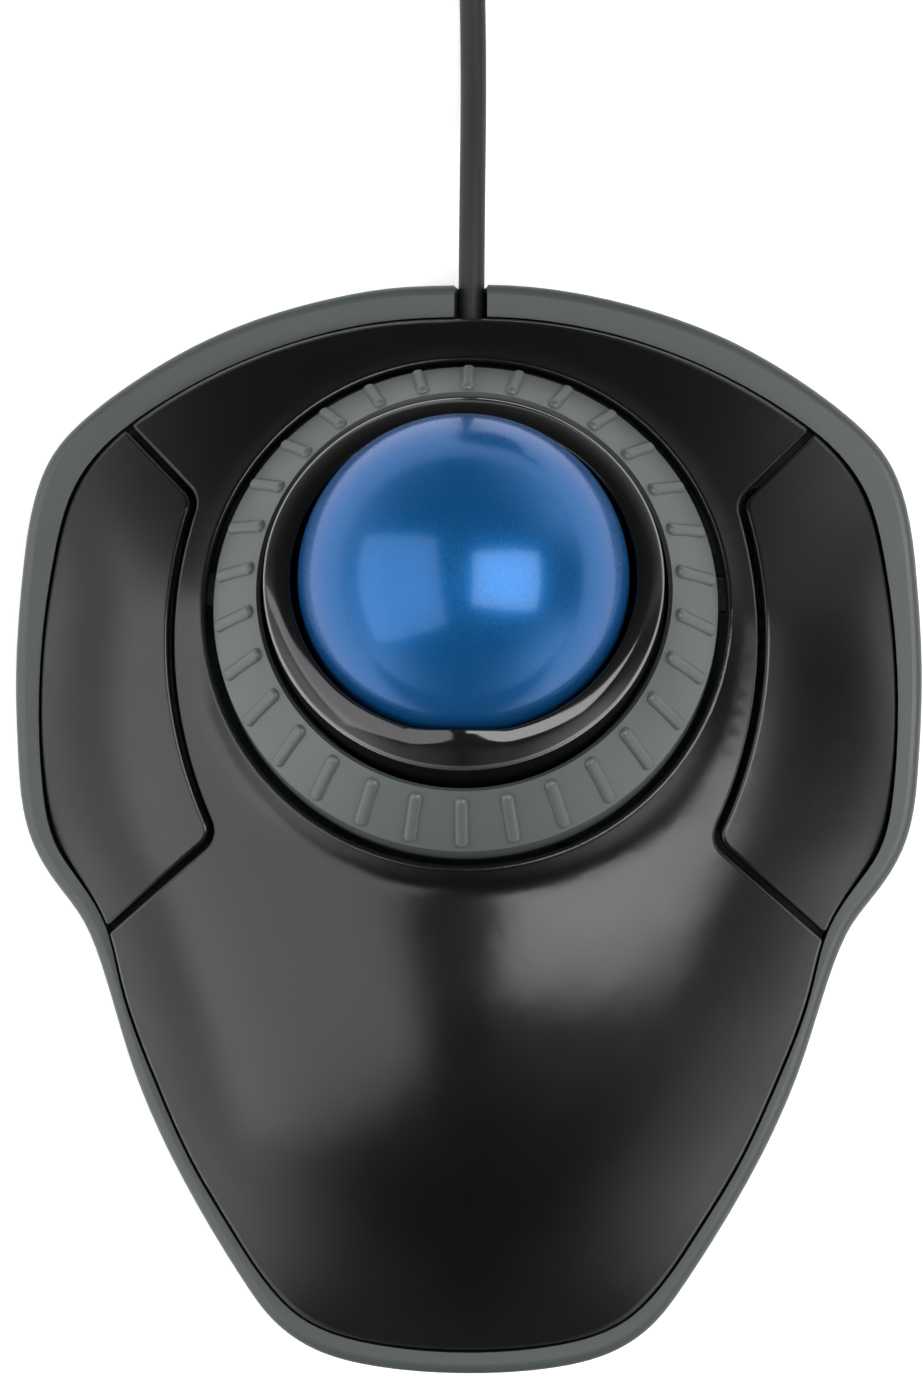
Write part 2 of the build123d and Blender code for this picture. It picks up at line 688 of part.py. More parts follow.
with BuildPart() as scroll_ring:
    with BuildSketch(ring_section):
        with BuildLine():
            mouth = (mouth_r, RING_MOUTH_H)
            middle = (rib_r + RING_BULGE * math.sin(slope), rib_h + RING_BULGE * math.cos(slope))
            ThreePointArc((RING_EDGE_R, RING_EDGE_H), middle, mouth)
            Polyline(
                mouth,
                (RING_MOUTH_R, RING_MOUTH_H - MOUTH_CHAMFER),
                (RING_MOUTH_R, CARRIER_TOP_H),
                (CARRIER_R, CARRIER_TOP_H),
                (RING_EDGE_R - RING_WALL, RING_STEP_H),
                (RING_EDGE_R - RING_WALL, CARRIER_FLANGE_H),
                (RING_EDGE_R, CARRIER_FLANGE_H),
                (RING_EDGE_R, RING_EDGE_H),
            )
        make_face()
    revolve(axis=ring_axis)
    add([
        ring_rib.part.moved(Location(ring_plane) * Rotation(0, 0, 90 + step * 360 / RIB_COUNT))
        for step in range(RIB_COUNT)
    ])
save(scroll_ring.part, "scroll_ring")

with BuildPart() as ring_carrier:
    with BuildSketch(ring_section):
        with BuildLine():
            Polyline(
                (RING_MOUTH_R, BARREL_END_H),
                (CARRIER_R, BARREL_END_H),
                (CARRIER_R, CARRIER_FLANGE_H - CARRIER_FLANGE_T),
                (SKIRT_R - SKIRT_T, CARRIER_FLANGE_H - CARRIER_FLANGE_T),
                (SKIRT_R - SKIRT_T, SKIRT_END_H),
                (SKIRT_R, SKIRT_END_H),
                (SKIRT_R, CARRIER_FLANGE_H - CARRIER_FLANGE_T),
                (RING_EDGE_R, CARRIER_FLANGE_H - CARRIER_FLANGE_T),
                (RING_EDGE_R, CARRIER_FLANGE_H),
                (CARRIER_R, CARRIER_FLANGE_H),
                (CARRIER_R, CARRIER_TOP_H),
                (RING_MOUTH_R, CARRIER_TOP_H),
                (RING_MOUTH_R, BARREL_END_H),
            )
        make_face()
    revolve(axis=ring_axis)
    # window slots of the encoder skirt
    with BuildSketch(ring_plane.offset(SKIRT_END_H + SLOT_SILL)):
        with PolarLocations(SKIRT_R - SKIRT_T / 2, SKIRT_SLOTS):
            Rectangle(2 * SKIRT_T, SLOT_W)
    extrude(amount=SLOT_H, mode=Mode.SUBTRACT)
save(ring_carrier.part, "ring_carrier")

# ---------------------------------------------------------------- circuit board and its parts
with BuildPart() as main_board:
    with BuildSketch(Plane.XY.offset(BOARD_BOTTOM)):
        with Locations((0, 16.5)):
            RectangleRounded(98, 37, 3)
        with Locations((0, 40)):
            RectangleRounded(44, 22, 2)
        with Locations(*CUP_LEGS):
            Circle(CUP_LEG_R + 0.4, mode=Mode.SUBTRACT)
        with Locations(*BOARD_SCREWS):
            Circle(SMALL_SCREW_R + 0.2, mode=Mode.SUBTRACT)
    extrude(amount=BOARD_TOP - BOARD_BOTTOM)
save(main_board.part, "main_board")


def block(label, x, y, width, length, height, bottom=BOARD_TOP, turn=0.0, edge=0.2):
    """A small rectangular component with broken top edges."""
    with BuildPart() as component:
        with Locations(Location((x, y, bottom), (0, 0, turn))):
            Box(width, length, height, align=STANDING)
        fillet(component.edges().group_by(Axis.Z)[-1], edge)
    return save(component.part, label)


for side, name in ((1, "right"), (-1, "left")):
    with BuildPart() as switch_body:
        with Locations((side * SWITCH_X, SWITCH_Y, BOARD_TOP)):
            Box(*SWITCH_BODY, SWITCH_TOP - BOARD_TOP, align=STANDING)
        fillet(switch_body.edges().filter_by(Axis.Z), 0.4)
        with Locations((side * SWITCH_X, SWITCH_Y, SWITCH_TOP)):
            Box(*SWITCH_WELL, align=HANGING, mode=Mode.SUBTRACT)
    save(switch_body.part, f"{name}_switch_body")
    with BuildPart() as plunger:
        with Locations((side * SWITCH_X, SWITCH_Y, PLUNGER_TOP)):
            Box(*PLUNGER, align=HANGING)
        fillet(plunger.edges().group_by(Axis.Z)[-1], 0.15)
    save(plunger.part, f"{name}_switch_plunger")

block("controller_chip", -22, 12, 7, 7, 1.2)
block("clock_crystal", -22, 22, 3.2, 8, 2.4, edge=0.8)
block("cable_header", 0, 48.6, 6, 4.8, 2.2)
block("sensor_chip", 0, BALL_CENTRE[1], 9, 10, 2.2)

with BuildPart() as capacitor:
    with Locations((22, 14, BOARD_TOP)):
        Cylinder(2.5, 5.4, align=STANDING)
    fillet(capacitor.edges().group_by(Axis.Z)[-1], 0.4)
save(capacitor.part, "capacitor")

LENS_FOOT = 9.0
LENS_TOP = 13.6
with BuildPart() as sensor_lens:
    with Locations((0, BALL_CENTRE[1], LENS_FOOT)):
        Box(8, 9, 1.4, align=STANDING)
        Cylinder(2.6, LENS_TOP - LENS_FOOT, align=STANDING)
    fillet(sensor_lens.edges().group_by(Axis.Z)[-1], 0.9)
save(sensor_lens.part, "sensor_lens")

with BuildPart() as sensor_led:
    with Locations((0, BALL_CENTRE[1] - 8, BOARD_TOP)):
        Cylinder(1.5, 3.4, align=STANDING)
        Cylinder(1.8, 0.8, align=STANDING)
    fillet(sensor_led.edges().group_by(Axis.Z)[-1], 1.3)
save(sensor_led.part, "sensor_led")

# optical pair of the ring encoder, one each side of the slotted skirt
skirt_centre_y = BALL_CENTRE[1] + ENCODER_H * math.sin(tilt)
for label, distance in (("encoder_emitter", 26.75), ("encoder_detector", 31.3)):
    turn = math.radians(ENCODER_ANGLE)
    block(
        label,
        -distance * math.sin(turn),
        skirt_centre_y + distance * math.cos(turn) * math.cos(tilt),
        4.4, 2.0, ENCODER_TOP - BOARD_TOP, turn=ENCODER_ANGLE,
    )

# ---------------------------------------------------------------- cable
with BuildPart() as cable_grommet:
    with Locations((0, GROMMET_Y, BASE_FLOOR)):
        Box(GROMMET_W, GROMMET_L, GROMMET_TOP - BASE_FLOOR, align=STANDING)
    fillet(cable_grommet.edges().group_by(Axis.Z)[-1], GROMMET_ROUND)
    with BuildSketch(Plane.XZ.offset(-GROMMET_Y)):
        with Locations((0, CABLE_Z)):
            Circle(CABLE_D / 2)
    extrude(amount=GROMMET_L, both=True, mode=Mode.SUBTRACT)
save(cable_grommet.part, "cable_grommet")

CABLE_START_Y = 51.0
COIL_Y = 136.0
COIL_R = 19.0
COIL_X = COIL_R
COIL_BUNDLE_R = 7.5
TIE_T = 0.5
COIL_Z = COIL_BUNDLE_R + TIE_T
FLOOR_Z = CABLE_D / 2
cable_points = [
    (0, CABLE_START_Y, CABLE_Z),
    (0, 75, CABLE_Z),
    (0, 100, FLOOR_Z),
    (0, 125, FLOOR_Z),
]


def bend_radii(points):
    """Arc radius at each inner point: 0.45 of the shorter run over tan of half the turn."""
    radii = []
    for before, here, after in zip(points, points[1:], points[2:]):
        run_in = Vector(*here) - Vector(*before)
        run_out = Vector(*after) - Vector(*here)
        half_turn = math.radians(run_in.get_angle(run_out)) / 2
        radii.append(0.45 * min(run_in.length, run_out.length) / math.tan(half_turn))
    return radii


cable_radii = bend_radii(cable_points)
print("cable bend radii (mm):", [round(r, 1) for r in cable_radii])
with BuildPart() as cable:
    with BuildLine() as cable_line:
        FilletPolyline(*cable_points, radius=cable_radii)
    with BuildSketch(Plane(cable_line.line @ 0, z_dir=cable_line.line % 0)):
        Circle(CABLE_D / 2)
    sweep()
    print("cable volume over section x length:",
          round(cable.part.volume / (math.pi * CABLE_D**2 / 4 * cable_line.wire().length), 4))
save(cable.part, "cable")

# the put-away length: coil, its tie and the plug beside it
TAIL_Y = COIL_Y + COIL_R + 2
TAIL_Z = 4.0
PLUG_X = 44.0
PLUG_SLEEVE = 6.0
PLUG_BODY_L = 25.0
PLUG_W = 15.6
PLUG_H = 7.8
SHELL_W = 12.0
SHELL_H = 4.5
SHELL_L = 13.0
SHELL_T = 0.35
SHELL_SUNK = 4.0            # the shell is held this deep in the moulded body
SLEEVE_START_R = 2.4
SLEEVE_END_R = 3.2
LATCH = 2.4                 # square latch holes in the shell
LATCH_X = 6.5
LATCH_Y = 2.9
plug_end = PLUG_X + PLUG_SLEEVE + PLUG_BODY_L
with BuildPart() as cable_coil:
    with Locations((COIL_X, COIL_Y, COIL_Z)):
        Torus(COIL_R, COIL_BUNDLE_R)
    with BuildSketch(Plane.YZ.offset(COIL_X)):
        with Locations((TAIL_Y, TAIL_Z)):
            Circle(CABLE_D / 2)
    extrude(amount=PLUG_X - COIL_X)
save(cable_coil.part, "cable_coil")

with BuildPart() as cable_tie:
    with BuildSketch(Plane.XZ.offset(-COIL_Y)):
        with Locations((COIL_X + COIL_R, COIL_Z)):
            Circle(COIL_BUNDLE_R + TIE_T)
            Circle(COIL_BUNDLE_R, mode=Mode.SUBTRACT)
    revolve(axis=Axis((COIL_X, COIL_Y, 0), (0, 0, 1)), revolution_arc=20)
save(cable_tie.part, "cable_tie")

with BuildPart() as plug_body:
    with BuildSketch(Plane.YZ.offset(PLUG_X)):
        with Locations((TAIL_Y, TAIL_Z)):
            Circle(SLEEVE_START_R)
    with BuildSketch(Plane.YZ.offset(PLUG_X + PLUG_SLEEVE)):
        with Locations((TAIL_Y, TAIL_Z)):
            Circle(SLEEVE_END_R)
    loft()
    with BuildSketch(Plane.YZ.offset(PLUG_X + PLUG_SLEEVE)):
        with Locations((TAIL_Y, TAIL_Z)):
            RectangleRounded(PLUG_W, PLUG_H, 2.2)
    extrude(amount=PLUG_BODY_L)
    with BuildSketch(Plane.YZ.offset(plug_end)):
        with Locations((TAIL_Y, TAIL_Z)):
            Rectangle(SHELL_W, SHELL_H)
    extrude(amount=-SHELL_SUNK, mode=Mode.SUBTRACT)
save(plug_body.part, "plug_body")

with BuildPart() as plug_shell:
    with BuildSketch(Plane.YZ.offset(plug_end - SHELL_SUNK)):
        with Locations((TAIL_Y, TAIL_Z)):
            Rectangle(SHELL_W, SHELL_H)
            Rectangle(SHELL_W - 2 * SHELL_T, SHELL_H - 2 * SHELL_T, mode=Mode.SUBTRACT)
    extrude(amount=SHELL_SUNK + SHELL_L)
    with BuildSketch(Plane.XY.offset(TAIL_Z)):
        with Locations((plug_end + LATCH_X, TAIL_Y - LATCH_Y), (plug_end + LATCH_X, TAIL_Y + LATCH_Y)):
            Rectangle(LATCH, LATCH)
    extrude(amount=SHELL_H, both=True, mode=Mode.SUBTRACT)
save(plug_shell.part, "plug_shell")

TONGUE_T = 1.8
TONGUE_L = 15.4
CONTACT_START = 3.0
CONTACT_W = 1.0
CONTACT_T = 0.15
tongue_bottom = TAIL_Z - SHELL_H / 2 + SHELL_T
with BuildPart() as plug_tongue:
    with Locations((plug_end - SHELL_SUNK, TAIL_Y, tongue_bottom)):
        Box(TONGUE_L, SHELL_W - 2 * SHELL_T, TONGUE_T, align=(Align.MIN, Align.CENTER, Align.MIN))
save(plug_tongue.part, "plug_tongue")

with BuildPart() as plug_contacts:
    for step, contact_l in ((-3.5, 7.4), (-1, 6.4), (1, 6.4), (3.5, 7.4)):
        with Locations((plug_end + CONTACT_START, TAIL_Y + step, tongue_bottom + TONGUE_T)):
            Box(contact_l, CONTACT_W, CONTACT_T, align=(Align.MIN, Align.CENTER, Align.MIN))
save(plug_contacts.part, "plug_contacts")

# ---------------------------------------------------------------- screws


def screw_group(label, places, seat, grip_end, shank_r, head_below):
    """Identical cross-recess screws, one group of separate solids."""
    down = -1 if head_below else 1
    with BuildPart() as group:
        with BuildSketch(Plane.XY.offset(seat)):
            with Locations(*places):
                Circle(shank_r)
        extrude(amount=grip_end - seat)
        with BuildSketch(Plane.XY.offset(seat)):
            with Locations(*places):
                Circle(HEAD_R)
        extrude(amount=down * HEAD_T)
        face_level = seat + down * HEAD_T
        fillet(group.faces().filter_by(lambda f: abs(f.center().Z - face_level) < 1e-4).edges(), 0.3)
        with BuildSketch(Plane.XY.offset(face_level)):
            with Locations(*places):
                Rectangle(RECESS_L, RECESS_W)
                Rectangle(RECESS_W, RECESS_L)
        extrude(amount=-down * RECESS_DEPTH, mode=Mode.SUBTRACT)
    return save(group.part, label)


screw_group("case_screws", CASE_SCREWS, HEAD_SEAT, CASE_SPLIT + CASE_SCREW_GRIP, SCREW_R, True)
screw_group("cup_screws", CUP_LEGS, HEAD_SEAT, BOARD_BOTTOM + CUP_SCREW_GRIP, SCREW_R, True)
screw_group(
    "board_screws", BOARD_SCREWS, BOARD_TOP, BOARD_BOTTOM - BOARD_SCREW_GRIP, SMALL_SCREW_R, False
)
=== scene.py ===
import bpy
import math
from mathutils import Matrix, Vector


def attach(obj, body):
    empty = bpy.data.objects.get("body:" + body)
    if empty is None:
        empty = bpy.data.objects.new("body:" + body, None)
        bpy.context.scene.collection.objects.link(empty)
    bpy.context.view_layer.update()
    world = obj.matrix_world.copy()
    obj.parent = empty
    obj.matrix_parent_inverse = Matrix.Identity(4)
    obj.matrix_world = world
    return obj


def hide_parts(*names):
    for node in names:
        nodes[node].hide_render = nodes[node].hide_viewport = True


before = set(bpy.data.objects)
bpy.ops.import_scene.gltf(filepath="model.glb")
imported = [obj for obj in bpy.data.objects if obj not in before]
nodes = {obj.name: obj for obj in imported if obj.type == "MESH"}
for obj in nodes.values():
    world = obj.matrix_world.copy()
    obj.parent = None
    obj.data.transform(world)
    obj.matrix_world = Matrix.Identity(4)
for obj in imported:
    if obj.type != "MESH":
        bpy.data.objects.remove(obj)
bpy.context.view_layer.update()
MM = 0.001                  # a millimetre in Blender's metres

# ---------------------------------------------------------------- camera: above, a touch to the right
CAMERA = Vector((13.5, 16.98, 600)) * MM
AIM = Vector((-0.83, 16.98, 8)) * MM
CAMERA_ROLL = math.radians(0.45)
FOCAL_LENGTH = 121.04       # in millimetres, as a camera states it, and so is the sensor
SENSOR_SIZE = 36
NEAREST_SEEN = 20 * MM
camera_data = bpy.data.cameras.new("camera")
camera_data.lens = FOCAL_LENGTH
camera_data.sensor_width = SENSOR_SIZE
camera_data.clip_start = NEAREST_SEEN
camera = bpy.data.objects.new("camera", camera_data)
bpy.context.scene.collection.objects.link(camera)
camera.location = CAMERA
camera.rotation_euler = (0, math.atan((CAMERA.x - AIM.x) / (CAMERA.z - AIM.z)), CAMERA_ROLL)
bpy.context.scene.camera = camera


# ---------------------------------------------------------------- helpers
MIX_FIRST, MIX_SECOND, MIX_RESULT = 6, 7, 2     # the Mix node's sockets for colours


def new_object(name, data, body=None):
    piece = bpy.data.objects.new(name, data)
    bpy.context.scene.collection.objects.link(piece)
    if body:
        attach(piece, body)
    return piece


def mesh_from(name, points, faces, body):
    data = bpy.data.meshes.new(name)
    data.from_pydata([Vector(p) * MM for p in points], [], faces)
    data.validate()
    for polygon in data.polygons:
        polygon.use_smooth = True
    return new_object(name, data, body)


class Shader:
    """A node tree under construction; every texture uses object coordinates in metres."""

    def __init__(self, name):
        self.material = bpy.data.materials.new(name)
        self.material.use_nodes = True
        self.tree = self.material.node_tree
        self.tree.nodes.clear()
        self.output = self.add("ShaderNodeOutputMaterial")
        self.body = self.add("ShaderNodeBsdfPrincipled")
        self.coords = self.add("ShaderNodeTexCoord")
        self.link(self.body.outputs["BSDF"], self.output.inputs["Surface"])

    def add(self, kind, **settings):
        node = self.tree.nodes.new(kind)
        for key, value in settings.items():
            setattr(node, key, value)
        return node

    def link(self, source, target):
        self.tree.links.new(source, target)

    def noise(self, size_mm, detail=3.0, roughness=0.55):
        node = self.add("ShaderNodeTexNoise")
        node.inputs["Scale"].default_value = 1 / (size_mm * MM)
        node.inputs["Detail"].default_value = detail
        node.inputs["Roughness"].default_value = roughness
        self.link(self.coords.outputs["Object"], node.inputs["Vector"])
        return node.outputs["Fac"]

    def spread(self, source, low, high):
        """Stretches the middle of a noise, where nearly all of it lies, over low to high."""
        node = self.add("ShaderNodeMapRange")
        node.inputs["From Min"].default_value = 0.3
        node.inputs["From Max"].default_value = 0.7
        node.inputs["To Min"].default_value = low
        node.inputs["To Max"].default_value = high
        self.link(source, node.inputs["Value"])
        return node.outputs["Result"]

    def mix(self, factor, first, second):
        node = self.add("ShaderNodeMix", data_type="RGBA")
        node.inputs[MIX_FIRST].default_value = (*first, 1)
        node.inputs[MIX_SECOND].default_value = (*second, 1)
        self.link(factor, node.inputs["Factor"])
        return node.outputs[MIX_RESULT]

    def bump(self, source, depth_mm, previous=None):
        node = self.add("ShaderNodeBump")
        node.inputs["Strength"].default_value = 1.0
        node.inputs["Distance"].default_value = depth_mm * MM
        self.link(source, node.inputs["Height"])
        if previous:
            self.link(previous, node.inputs["Normal"])
        return node.outputs["Normal"]


def srgb(r, g, b):
    """Linear colour of an sRGB triple in 0-255."""
    return tuple(
        value / 255 / 12.92 if value < 10.3 else ((value / 255 + 0.055) / 1.055) ** 2.4
        for value in (r, g, b)
    )


def plastic(name, colour, roughness, grain_mm=0.25, grain_depth=0.004, mottle=0.08,
            smudge=0.06, coat=0.0, specular=0.5, metallic=0.0):
    """Moulded plastic: spark-eroded grain, slight colour mottle and handling smudges."""
    s = Shader(name)
    mottle_mm, smudge_mm = 18, 26
    dark = tuple(c * (1 - mottle) for c in colour)
    light = tuple(min(c * (1 + mottle), 1) for c in colour)
    s.link(s.mix(s.noise(mottle_mm, 4), dark, light), s.body.inputs["Base Color"])
    s.link(s.spread(s.noise(smudge_mm, 5, 0.65), roughness - smudge, roughness + smudge),
           s.body.inputs["Roughness"])
    coarse = s.bump(s.noise(grain_mm * 3.5, 2), grain_depth * 0.8)
    s.link(s.bump(s.noise(grain_mm, 2), grain_depth, previous=coarse), s.body.inputs["Normal"])
    s.body.inputs["Metallic"].default_value = metallic
    s.body.inputs["Specular IOR Level"].default_value = specular
    s.body.inputs["Coat Weight"].default_value = coat
    s.body.inputs["Coat Roughness"].default_value = 0.06
    return s.material


def dress(material, *names):
    for name in names:
        piece = nodes[name] if isinstance(name, str) else name
        piece.data.materials.clear()
        piece.data.materials.append(material)


# ---------------------------------------------------------------- materials
rim_grey = plastic("rim_grey", srgb(67, 73, 71), 0.42, 0.22, 0.004, 0.04)
ring_grey = plastic("ring_grey", srgb(84, 90, 88), 0.4, 0.2, 0.003, 0.03)
cover_black = plastic("cover_black", srgb(13, 13, 14), 0.23, 0.28, 0.004, 0.12, 0.03)
button_black = plastic("button_black", srgb(14, 14, 15), 0.25, 0.28, 0.004, 0.12, 0.03)
collar_black = plastic("collar_black", srgb(22, 22, 22), 0.12, 0.5, 0.0006, 0.05, 0.02,
                       specular=0.7)
# darker, duller copy of the collar's black for its outer wall: painted shade, not a different finish
collar_wall_painted_shade = plastic("collar_wall_painted_shade", srgb(5, 5, 5), 0.7, 0.3, 0.004, specular=0.04)
# lighter, glossier copy of the collar's black for its rounded outer edge: a painted highlight line
# along that edge
collar_edge_painted_highlight = plastic("collar_edge_painted_highlight", srgb(58, 58, 60), 0.1, 0.5, 0.0006, 0.05, 0.02,
                      coat=1.0, specular=1.0)
inner_black = plastic("inner_black", srgb(26, 26, 27), 0.5, 0.3, 0.006)
chip_black = plastic("chip_black", srgb(24, 24, 25), 0.45, 0.1, 0.004)
switch_white = plastic("switch_white", srgb(222, 219, 210), 0.45, 0.2, 0.003, 0.03)
foot_rubber = plastic("foot_rubber", srgb(38, 38, 38), 0.75, 0.35, 0.02, 0.15)
cable_black = plastic("cable_black", srgb(43, 43, 45), 0.52, 0.35, 0.004, 0.1, specular=0.25)
label_silver = plastic("label_silver", srgb(172, 174, 175), 0.35, 0.08, 0.002, 0.03)
board_green = plastic("board_green", srgb(16, 74, 46), 0.3, 0.6, 0.01, 0.2, coat=0.5)
tin = plastic("tin", srgb(190, 190, 192), 0.3, 0.15, 0.002, 0.05, metallic=1.0)
screw_steel = plastic("screw_steel", srgb(90, 90, 93), 0.35, 0.12, 0.004, 0.1, metallic=0.9)
contact_gold = plastic("contact_gold", srgb(220, 175, 85), 0.25, 0.2, 0.001, 0.03, metallic=1.0)
bearing_steel = plastic("bearing_steel", srgb(226, 224, 220), 0.12, 0.3, 0.001, 0.02, metallic=0.9)


def pearl_blue():
    """Deep blue ball: fine pearl flakes in a blue body under a thin polished lacquer."""
    flake_mm = 0.22
    s = Shader("ball_blue")
    flake = s.add("ShaderNodeTexVoronoi")
    flake.inputs["Scale"].default_value = 1 / (flake_mm * MM)
    s.link(s.coords.outputs["Object"], flake.inputs["Vector"])
    s.link(s.mix(s.noise(9, 4), (0.007, 0.094, 0.285), (0.011, 0.11, 0.33)),
           s.body.inputs["Base Color"])
    s.link(s.spread(flake.outputs["Distance"], 0.24, 0.36), s.body.inputs["Roughness"])
    s.body.inputs["Metallic"].default_value = 0.5
    s.body.inputs["Specular IOR Level"].default_value = 0.3
    s.body.inputs["Specular Tint"].default_value = (0.12, 0.4, 0.7, 1)
    s.body.inputs["Coat Weight"].default_value = 0.42
    s.body.inputs["Coat Roughness"].default_value = 0.14
    s.body.inputs["Coat IOR"].default_value = 1.5
    s.link(s.bump(s.noise(0.35, 2), 0.0006), s.body.inputs["Normal"])
    return s.material


def clear(name, tint, roughness=0.06):
    s = Shader(name)
    s.body.inputs["Base Color"].default_value = (*tint, 1)
    s.body.inputs["Transmission Weight"].default_value = 0.9
    s.link(s.spread(s.noise(1.5, 3), roughness, roughness + 0.06), s.body.inputs["Roughness"])
    return s.material


ball_blue = pearl_blue()
lens_clear = clear("lens_clear", (0.92, 0.94, 0.95))
led_red = clear("led_red", (0.75, 0.06, 0.05), 0.12)

dress(rim_grey, "base_shell")
dress(ring_grey, "scroll_ring")
dress(cover_black, "top_cover")
dress(button_black, "left_button", "right_button")
dress(ball_blue, "ball")
dress(inner_black, "ball_cup", "ring_carrier", "encoder_emitter", "encoder_detector")
dress(bearing_steel, "support_bearing_1", "support_bearing_2", "support_bearing_3")
dress(board_green, "main_board")
dress(chip_black, "sensor_chip", "controller_chip", "left_switch_body", "right_switch_body")
dress(switch_white, "left_switch_plunger", "right_switch_plunger", "cable_header", "plug_tongue")
dress(tin, "clock_crystal", "capacitor", "plug_shell")
dress(lens_clear, "sensor_lens")
dress(led_red, "sensor_led")
dress(foot_rubber, "rear_left_foot", "rear_right_foot", "front_left_foot", "front_right_foot")
dress(label_silver, "rating_label")
dress(cable_black, "cable_grommet", "plug_body", "cable_tie")
dress(screw_steel, "case_screws", "cup_screws", "board_screws")
dress(contact_gold, "plug_contacts")

# ---------------------------------------------------------------- ball collar with its crowned lip
BALL = Vector((0, 30.84, 36.5))
RING_TILT = math.radians(15.3)
LIP_TILT = math.radians(23.5)
COLLAR_R = 24.2             # outer wall, about the ring's axis
COLLAR_SEAT_H = -7.0
SOCKET_R = 20.9             # spherical inside
LIP_TOP_R = 21.6            # the lip's crown is highest here, about the lip's own axis
LIP_TOP_H = 1.35
LIP_CROWN_R = 5.5
LIP_ROUND = 0.3
LIP_FALL = 2.1              # at the front the lip falls this much more towards its outer edge
FALL_EVEN = 0.45            # share of that fall that is an even slope, the rest is a shoulder
SHOULDER_AT = 0.4           # share of the lip's width inside the shoulder
FALL_FULL = math.radians(50)    # whole as far as this on each side of the front
FALL_END = math.radians(100)    # and gone from here on
SWELL_RISE = 0.5            # the inner edge swells gently over the front
SWELL_END = math.radians(50)
BUMP_RISE = 1.1             # and has a short tab at the front centre
BUMP_END = math.radians(17)
SECTIONS = 360
WALL_STEPS = 6              # steps along a section: outer wall, rounded edges, lip and socket
EDGE_STEPS = 4
LIP_STEPS = 10
SOCKET_STEPS = 8
SETTLING = 12               # rounds that bring the lip's two edges on to the wall and the socket

ring_axis = Vector((0, math.sin(RING_TILT), math.cos(RING_TILT)))
lip_axis = Vector((0, math.sin(LIP_TILT), math.cos(LIP_TILT)))


def smooth_step(t):
    t = min(max(t, 0.0), 1.0)
    return t * t * (3 - 2 * t)


def outward(axis, turn):
    """Unit vector square to an axis that leans to the rear, turned from +X towards the rear."""
    across = Vector((1, 0, 0))
    return across * math.cos(turn) + axis.cross(across) * math.sin(turn)


def lip_height(radius, rise, fall):
    """Height of the crowned lip over the plane through the ball centre."""
    crown = LIP_TOP_H - LIP_CROWN_R + math.sqrt(LIP_CROWN_R**2 - (radius - LIP_TOP_R) ** 2)
    across = min(max((COLLAR_R - radius) / (COLLAR_R - SOCKET_R), 0.0), 1.0)
    shoulder = max(0.0, (1 - across - SHOULDER_AT) / (1 - SHOULDER_AT))
    shoulder = shoulder**2 * (2 - shoulder)
    return crown + rise * across - fall * (FALL_EVEN * (1 - across) + (1 - FALL_EVEN) * shoulder)


def bend(start, corner, end, steps):
    """Points of a rounded corner between start and end."""
    return [
        start * (1 - t) ** 2 + corner * 2 * t * (1 - t) + end * t * t
        for t in (step / steps for step in range(steps + 1))
    ]


def collar_section(turn):
    """Closed section of the collar at one turn about the lip's axis, from the ball centre."""
    off_front = abs((turn + math.pi / 2 + math.pi) % (2 * math.pi) - math.pi)
    rise = BUMP_RISE * max(0.0, 1 - (off_front / BUMP_END) ** 2) ** 1.6
    rise += SWELL_RISE * (1 - smooth_step(off_front / SWELL_END))
    fall = LIP_FALL * (1 - smooth_step((off_front - FALL_FULL) / (FALL_END - FALL_FULL)))
    away = outward(lip_axis, turn)

    def lip(radius):
        return away * radius + lip_axis * lip_height(radius, rise, fall)

    inner_r, outer_r = SOCKET_R, COLLAR_R
    for _ in range(SETTLING):
        inner_r = math.sqrt(SOCKET_R**2 - lip_height(inner_r, rise, fall) ** 2)
        corner = lip(outer_r)
        outer_r += COLLAR_R - (corner - ring_axis * corner.dot(ring_axis)).length
    corner = lip(outer_r)
    level = corner.dot(ring_axis)
    wall = (corner - ring_axis * level).normalized() * COLLAR_R
    wall_top = level - LIP_ROUND
    points = [wall + ring_axis * (COLLAR_SEAT_H + (wall_top - COLLAR_SEAT_H) * t / WALL_STEPS)
              for t in range(WALL_STEPS)]
    points += bend(wall + ring_axis * wall_top, corner, lip(outer_r - LIP_ROUND), EDGE_STEPS)
    flat = inner_r - outer_r + 2 * LIP_ROUND
    points += [lip(outer_r - LIP_ROUND + flat * t / LIP_STEPS) for t in range(1, LIP_STEPS)]
    edge = lip(inner_r)
    edge_level = edge.dot(ring_axis)
    side = (edge - ring_axis * edge_level).normalized()
    start = math.asin(edge_level / SOCKET_R) - LIP_ROUND / SOCKET_R
    end = math.asin(COLLAR_SEAT_H / SOCKET_R)
    socket = []
    for t in range(SOCKET_STEPS + 1):
        climb = start + (end - start) * t / SOCKET_STEPS
        socket.append((side * math.cos(climb) + ring_axis * math.sin(climb)) * SOCKET_R)
    points += bend(lip(inner_r + LIP_ROUND), edge, socket[0], EDGE_STEPS)
    return points + socket[1:]


